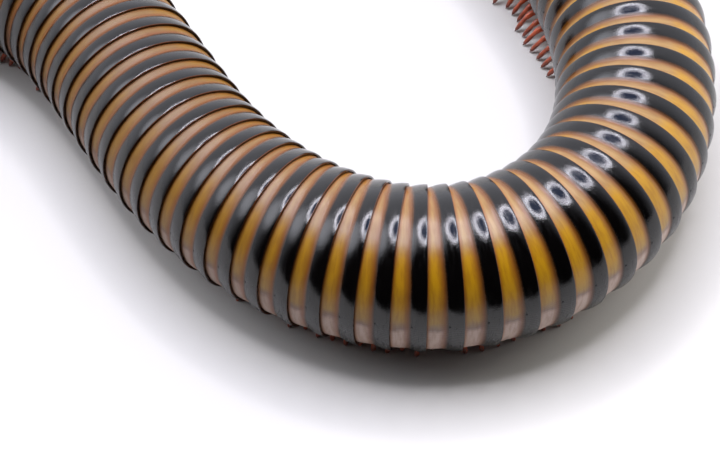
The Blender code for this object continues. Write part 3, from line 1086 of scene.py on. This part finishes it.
# %% [markdown]
# ## The eyes
#
# A millipede's eye is a patch of single lenses in rows. One low dome is modelled once. Its copies are
# set down in staggered rows, each on the spot of the head that a line from outside hits, and turned to
# stand square on it.

# %% Set the lenses in rows
# Millimetres ahead and up, the radius of a lens, and how far out the lines start
EYE_AHEAD = 2.0
EYE_UP = 1.7
LENS_RADIUS = 0.145
OUTSIDE = 8.0
# Rows up from the middle of the eye, in steps of nearly two radii, and lenses in each
LENS_ROWS = ((-2.6, 4), (-1.6, 6), (-0.6, 7), (0.4, 7), (1.4, 6), (2.4, 4))
LENS_STEP = 1.8 * LENS_RADIUS


def make_eye(name, hand, lens_master):
    to_head = head_frame()
    lenses = []
    for row, count in LENS_ROWS:
        for k in range(count):
            ahead = EYE_AHEAD + (k - (count - 1) / 2) * 2.0 * LENS_RADIUS
            up = EYE_UP + row * LENS_STEP
            start = to_head @ (Vector((ahead, hand * OUTSIDE, up)) / 1000)
            end = to_head @ (Vector((ahead, 0.0, up)) / 1000)
            hit, place, normal, _ = head.ray_cast(start, (end - start).normalized())
            if not hit:
                continue
            lens = own_copy(lens_master, "lens")
            turn = normal.to_track_quat("Z", "Y")
            for vert in lens.data.vertices:
                vert.co = place + turn @ (vert.co * LENS_RADIUS / 1000)
            smooth_shade(lens)
            lenses.append(lens)
    print(name, "has", len(lenses), "lenses")
    return join(lenses, name)


def make_lens_finish():
    finish = Finish("black_eye_lens")
    finish.set("Base Color", finish.mixed(finish.noise(1200.0), (6, 6, 8), (26, 18, 14)))
    finish.set("Roughness", 0.08)
    finish.set("Coat Weight", 0.5)
    finish.set("Coat Roughness", 0.03)
    return finish.material


lens_material = make_lens_finish()
lens_master = add_ball((0.0, 0.0, 0.0), (1.0, 1.0, 0.8), 10, 8)
for side, hand in (("left", 1), ("right", -1)):
    eye = make_eye(f"lenses_{side}", hand, lens_master)
    eye.data.materials.append(lens_material)
    dress(eye, "eye_lens", f"eye_{side}")
bpy.data.objects.remove(lens_master)

# %% [markdown]
# ## The feelers
#
# Each feeler has seven joints of one kind with the legs, but thicker, each widest near its far end,
# with short stiff hairs and four tiny cones at the tip. The straight feeler is one extruded circle,
# and it is bent over the same way as a leg and has the same finish.

# %% Model a straight feeler and a hair
FEELER_SIDES = 14
FEELER_THICKNESS = 0.00030
FEELER_JOINTS = (0.0, 0.10, 0.26, 0.42, 0.57, 0.72, 0.89, 0.985)
# Share of a joint's length, radius in feeler thicknesses, and whether a swollen joint is wider there
JOINT_OUTLINE = (
    (0.0, 0.62, False), (0.10, 0.74, False), (0.35, 0.84, True), (0.70, 1.02, True), (0.90, 1.0, True),
    (0.97, 0.80, False),
)
SWOLLEN_JOINTS = (4, 5)
SWELLING = 1.12
TIP_OUTLINE = [(0.985, 0.55), (0.995, 0.30), (1.0, 0.08)]


def feeler_outline():
    outline = []
    for k, (start, end) in enumerate(zip(FEELER_JOINTS, FEELER_JOINTS[1:])):
        size = SWELLING if k in SWOLLEN_JOINTS else 1.0
        for share, radius, swells in JOINT_OUTLINE:
            outline.append((start + share * (end - start), radius * (size if swells else 1.0)))
    return outline + TIP_OUTLINE


feeler_master = extrude_round(feeler_outline(), FEELER_SIDES, "feeler_master", ends=True)
store_number(feeler_master, "along_leg", [vert.co.x for vert in feeler_master.data.vertices])
nothing_selected()
bpy.ops.mesh.primitive_cone_add(vertices=4, radius1=1.0, radius2=0.1, depth=1.0, location=(0.0, 0.0, 0.5))
hair_master = bpy.context.active_object
bpy.ops.object.transform_apply(location=True, rotation=True, scale=True)
print("a feeler has", len(feeler_master.data.polygons), "faces without its hairs")

# %% Bend the feelers and set the hairs
FEELER_POINTS = (
    (3.6, 3.7, 0.0), (4.9, 5.1, 0.3), (6.4, 5.85, -0.6), (7.5, 5.9, -2.2), (8.3, 5.7, -3.9),
    (8.75, 5.3, -5.3),
)
HAIRS = 90
HAIRS_FROM = 0.12
HAIR_LENGTH = 0.00022
HAIR_THICKNESS = 0.000016
HAIR_LEAN = 0.6
CONES = 4
CONE_LENGTH = 0.00018
CONE_THICKNESS = 0.00005
CONE_SPREAD = 0.00008
# Where on the legs' ramp of colours the hairs and the cones lie
HAIR_TINT = 0.3
CONE_TINT = 0.1


def add_hair(place, way, long, thick, tint):
    hair = own_copy(hair_master, "hair")
    turn = way.to_track_quat("Z", "Y")
    for vert in hair.data.vertices:
        x, y, z = vert.co
        vert.co = place + turn @ Vector((x * thick, y * thick, z * long))
    store_number(hair, "along_leg", tint)
    return hair


def make_feeler(name, hand):
    feeler = own_copy(feeler_master, name)
    to_head = head_frame()
    route = [to_head @ (Vector((x, hand * y, z)) / 1000) for x, y, z in FEELER_POINTS]
    bend_along(feeler.data, route, FEELER_THICKNESS)
    parts = [feeler]
    for _ in range(HAIRS):
        share = draw.uniform(HAIRS_FROM, 0.99)
        ahead = way_at(route, share).normalized()
        around = Vector([draw.gauss(0, 1) for _ in range(3)])
        outward = (around - around.dot(ahead) * ahead).normalized()
        root = smooth_point(route, share) + outward * FEELER_THICKNESS * 0.75
        way = (outward * HAIR_LEAN + ahead).normalized()
        parts.append(add_hair(root, way, HAIR_LENGTH * draw.uniform(0.7, 1.2), HAIR_THICKNESS, HAIR_TINT))
    ahead = (route[-1] - smooth_point(route, 0.97)).normalized()
    turn = ahead.to_track_quat("Z", "Y")
    for k in range(CONES):
        angle = math.tau * (k + 0.5) / CONES
        outward = turn @ Vector((math.cos(angle), math.sin(angle), 0.0))
        root = route[-1] - ahead * CONE_SPREAD + outward * CONE_SPREAD
        parts.append(add_hair(root, ahead, CONE_LENGTH, CONE_THICKNESS, CONE_TINT))
    made = join(parts, name)
    face_outwards(made)
    smooth_shade(made)
    return made


for side, hand in (("left", 1), ("right", -1)):
    feeler = make_feeler(f"feeler_{side}", hand)
    feeler.data.materials.append(leg_finish.material)
    dress(feeler, "leg_shell", f"antenna_{side}")
    print(feeler.name, "of", len(feeler.data.polygons), "faces")
bpy.data.objects.remove(feeler_master)
bpy.data.objects.remove(hair_master)

# %% [markdown]
# ## The tail
#
# The last ring has no legs. It closes over the vent like a hood, with a blunt point on the back, and
# two domed valves with raised edges fill the opening. Ring and hood are one extruded circle whose top
# is drawn out. A valve is a ball cut in two with Bisect. The hood is black with brown edges, and the
# valves have the finish of the head.

# %% Model the tail ring
TAIL_LENGTH = 3.6
TAIL_SIDES = 96
TAIL_OUTLINE = (
    (0.00, 0.835), (0.25, 0.832), (0.70, 0.822), (1.20, 0.806), (1.70, 0.783), (2.20, 0.752), (2.65, 0.712),
    (3.05, 0.664), (3.35, 0.615), (3.52, 0.580), (3.60, 0.556), (3.60, 0.535), (3.50, 0.525), (2.80, 0.600),
    (1.20, 0.720), (0.00, 0.760),
)
TAIL_POINT = 1.5
TAIL_POINT_WIDTH = 0.12
TAIL_POINT_SWELLING = 0.10


def make_tail_ring():
    tail = extrude_round(TAIL_OUTLINE, TAIL_SIDES, "tail_hood")
    before = []
    around = []
    for vert in tail.data.vertices:
        along, y, z = vert.co
        turn = abs(math.atan2(y, z)) / math.pi
        drawn_out = dip(turn, TAIL_POINT_WIDTH) * (max(along, 0.0) / TAIL_LENGTH) ** 3
        before.append(TAIL_LENGTH - along)
        around.append(turn)
        out = 1.0 + TAIL_POINT_SWELLING * drawn_out
        height = max(BODY_RADIUS * z * out, -BELLY_FLAT * BODY_RADIUS * math.hypot(y, z))
        place = Vector(((along + TAIL_POINT * drawn_out) / 1000, BODY_RADIUS * y * out, height))
        vert.co = frame_at(RING_COUNT) @ place
    store_number(tail, "before_rim", before)
    store_number(tail, "from_back", around)
    smooth_shade(tail, 55)
    return tail


def make_tail_finish():
    finish = Finish("tail_shell")
    share = finish.calculate("MULTIPLY", finish.attribute("before_rim"), 1 / TAIL_LENGTH)
    colour = finish.ramp(
        finish.wandering(share, 700.0, 4.0, 0.12),
        (0.0, (104, 56, 26)), (0.04, (40, 18, 8)), (0.16, BLACK), (0.80, BLACK), (0.97, (70, 34, 14)),
    )
    finish.set("Base Color", colour)
    finish.grained(8000.0, 3.0, 0.4, 0.13, 0.24, 0.00001)
    return finish.material


tail = make_tail_ring()
tail.data.materials.append(make_tail_finish())
dress(tail, "ring_shell", "tail_ring")
print("tail ring of", len(tail.data.polygons), "faces")

# %% Model the two valves
VALVE_AHEAD = 3.05
VALVE_UP = -0.15
VALVE_SIZE = (2.75, 3.15, 3.3)
VALVE_GAP = 0.06
# A raised edge beside the slit and a furrow beyond it: how far aside, how high and how wide
VALVE_EDGE = (0.30, 0.16, 0.16)
VALVE_FURROW = (0.72, -0.10, 0.2)
VALVE_TINT = 0.42


def make_valve(name, hand):
    valve = add_ball((VALVE_AHEAD, 0.0, VALVE_UP), VALVE_SIZE, 64, 40)
    valve.name = name
    edit_all()
    bpy.ops.mesh.bisect(
        plane_co=(0.0, hand * VALVE_GAP, 0.0), plane_no=(0.0, hand, 0.0), use_fill=True, clear_inner=True
    )
    bpy.ops.object.mode_set(mode="OBJECT")
    for vert in valve.data.vertices:
        x, y, z = vert.co
        if x > VALVE_AHEAD:
            out = (x - VALVE_AHEAD) / VALVE_SIZE[0]
            for aside, high, wide in (VALVE_EDGE, VALVE_FURROW):
                vert.co.x += high * dip(abs(y) - aside, wide) * out
    lay_in_frame(valve, frame_at(RING_COUNT))
    smooth_shade(valve, 50)
    return valve


for side, hand in (("left", 1), ("right", -1)):
    valve = make_valve(f"valve_{side}", hand)
    store_number(valve, "head_height", VALVE_TINT)
    valve.data.materials.append(head_material)
    dress(valve, "head_shell", f"tail_valve_{side}")
    print(valve.name, "of", len(valve.data.polygons), "faces")

# %% [markdown]
# ## The end
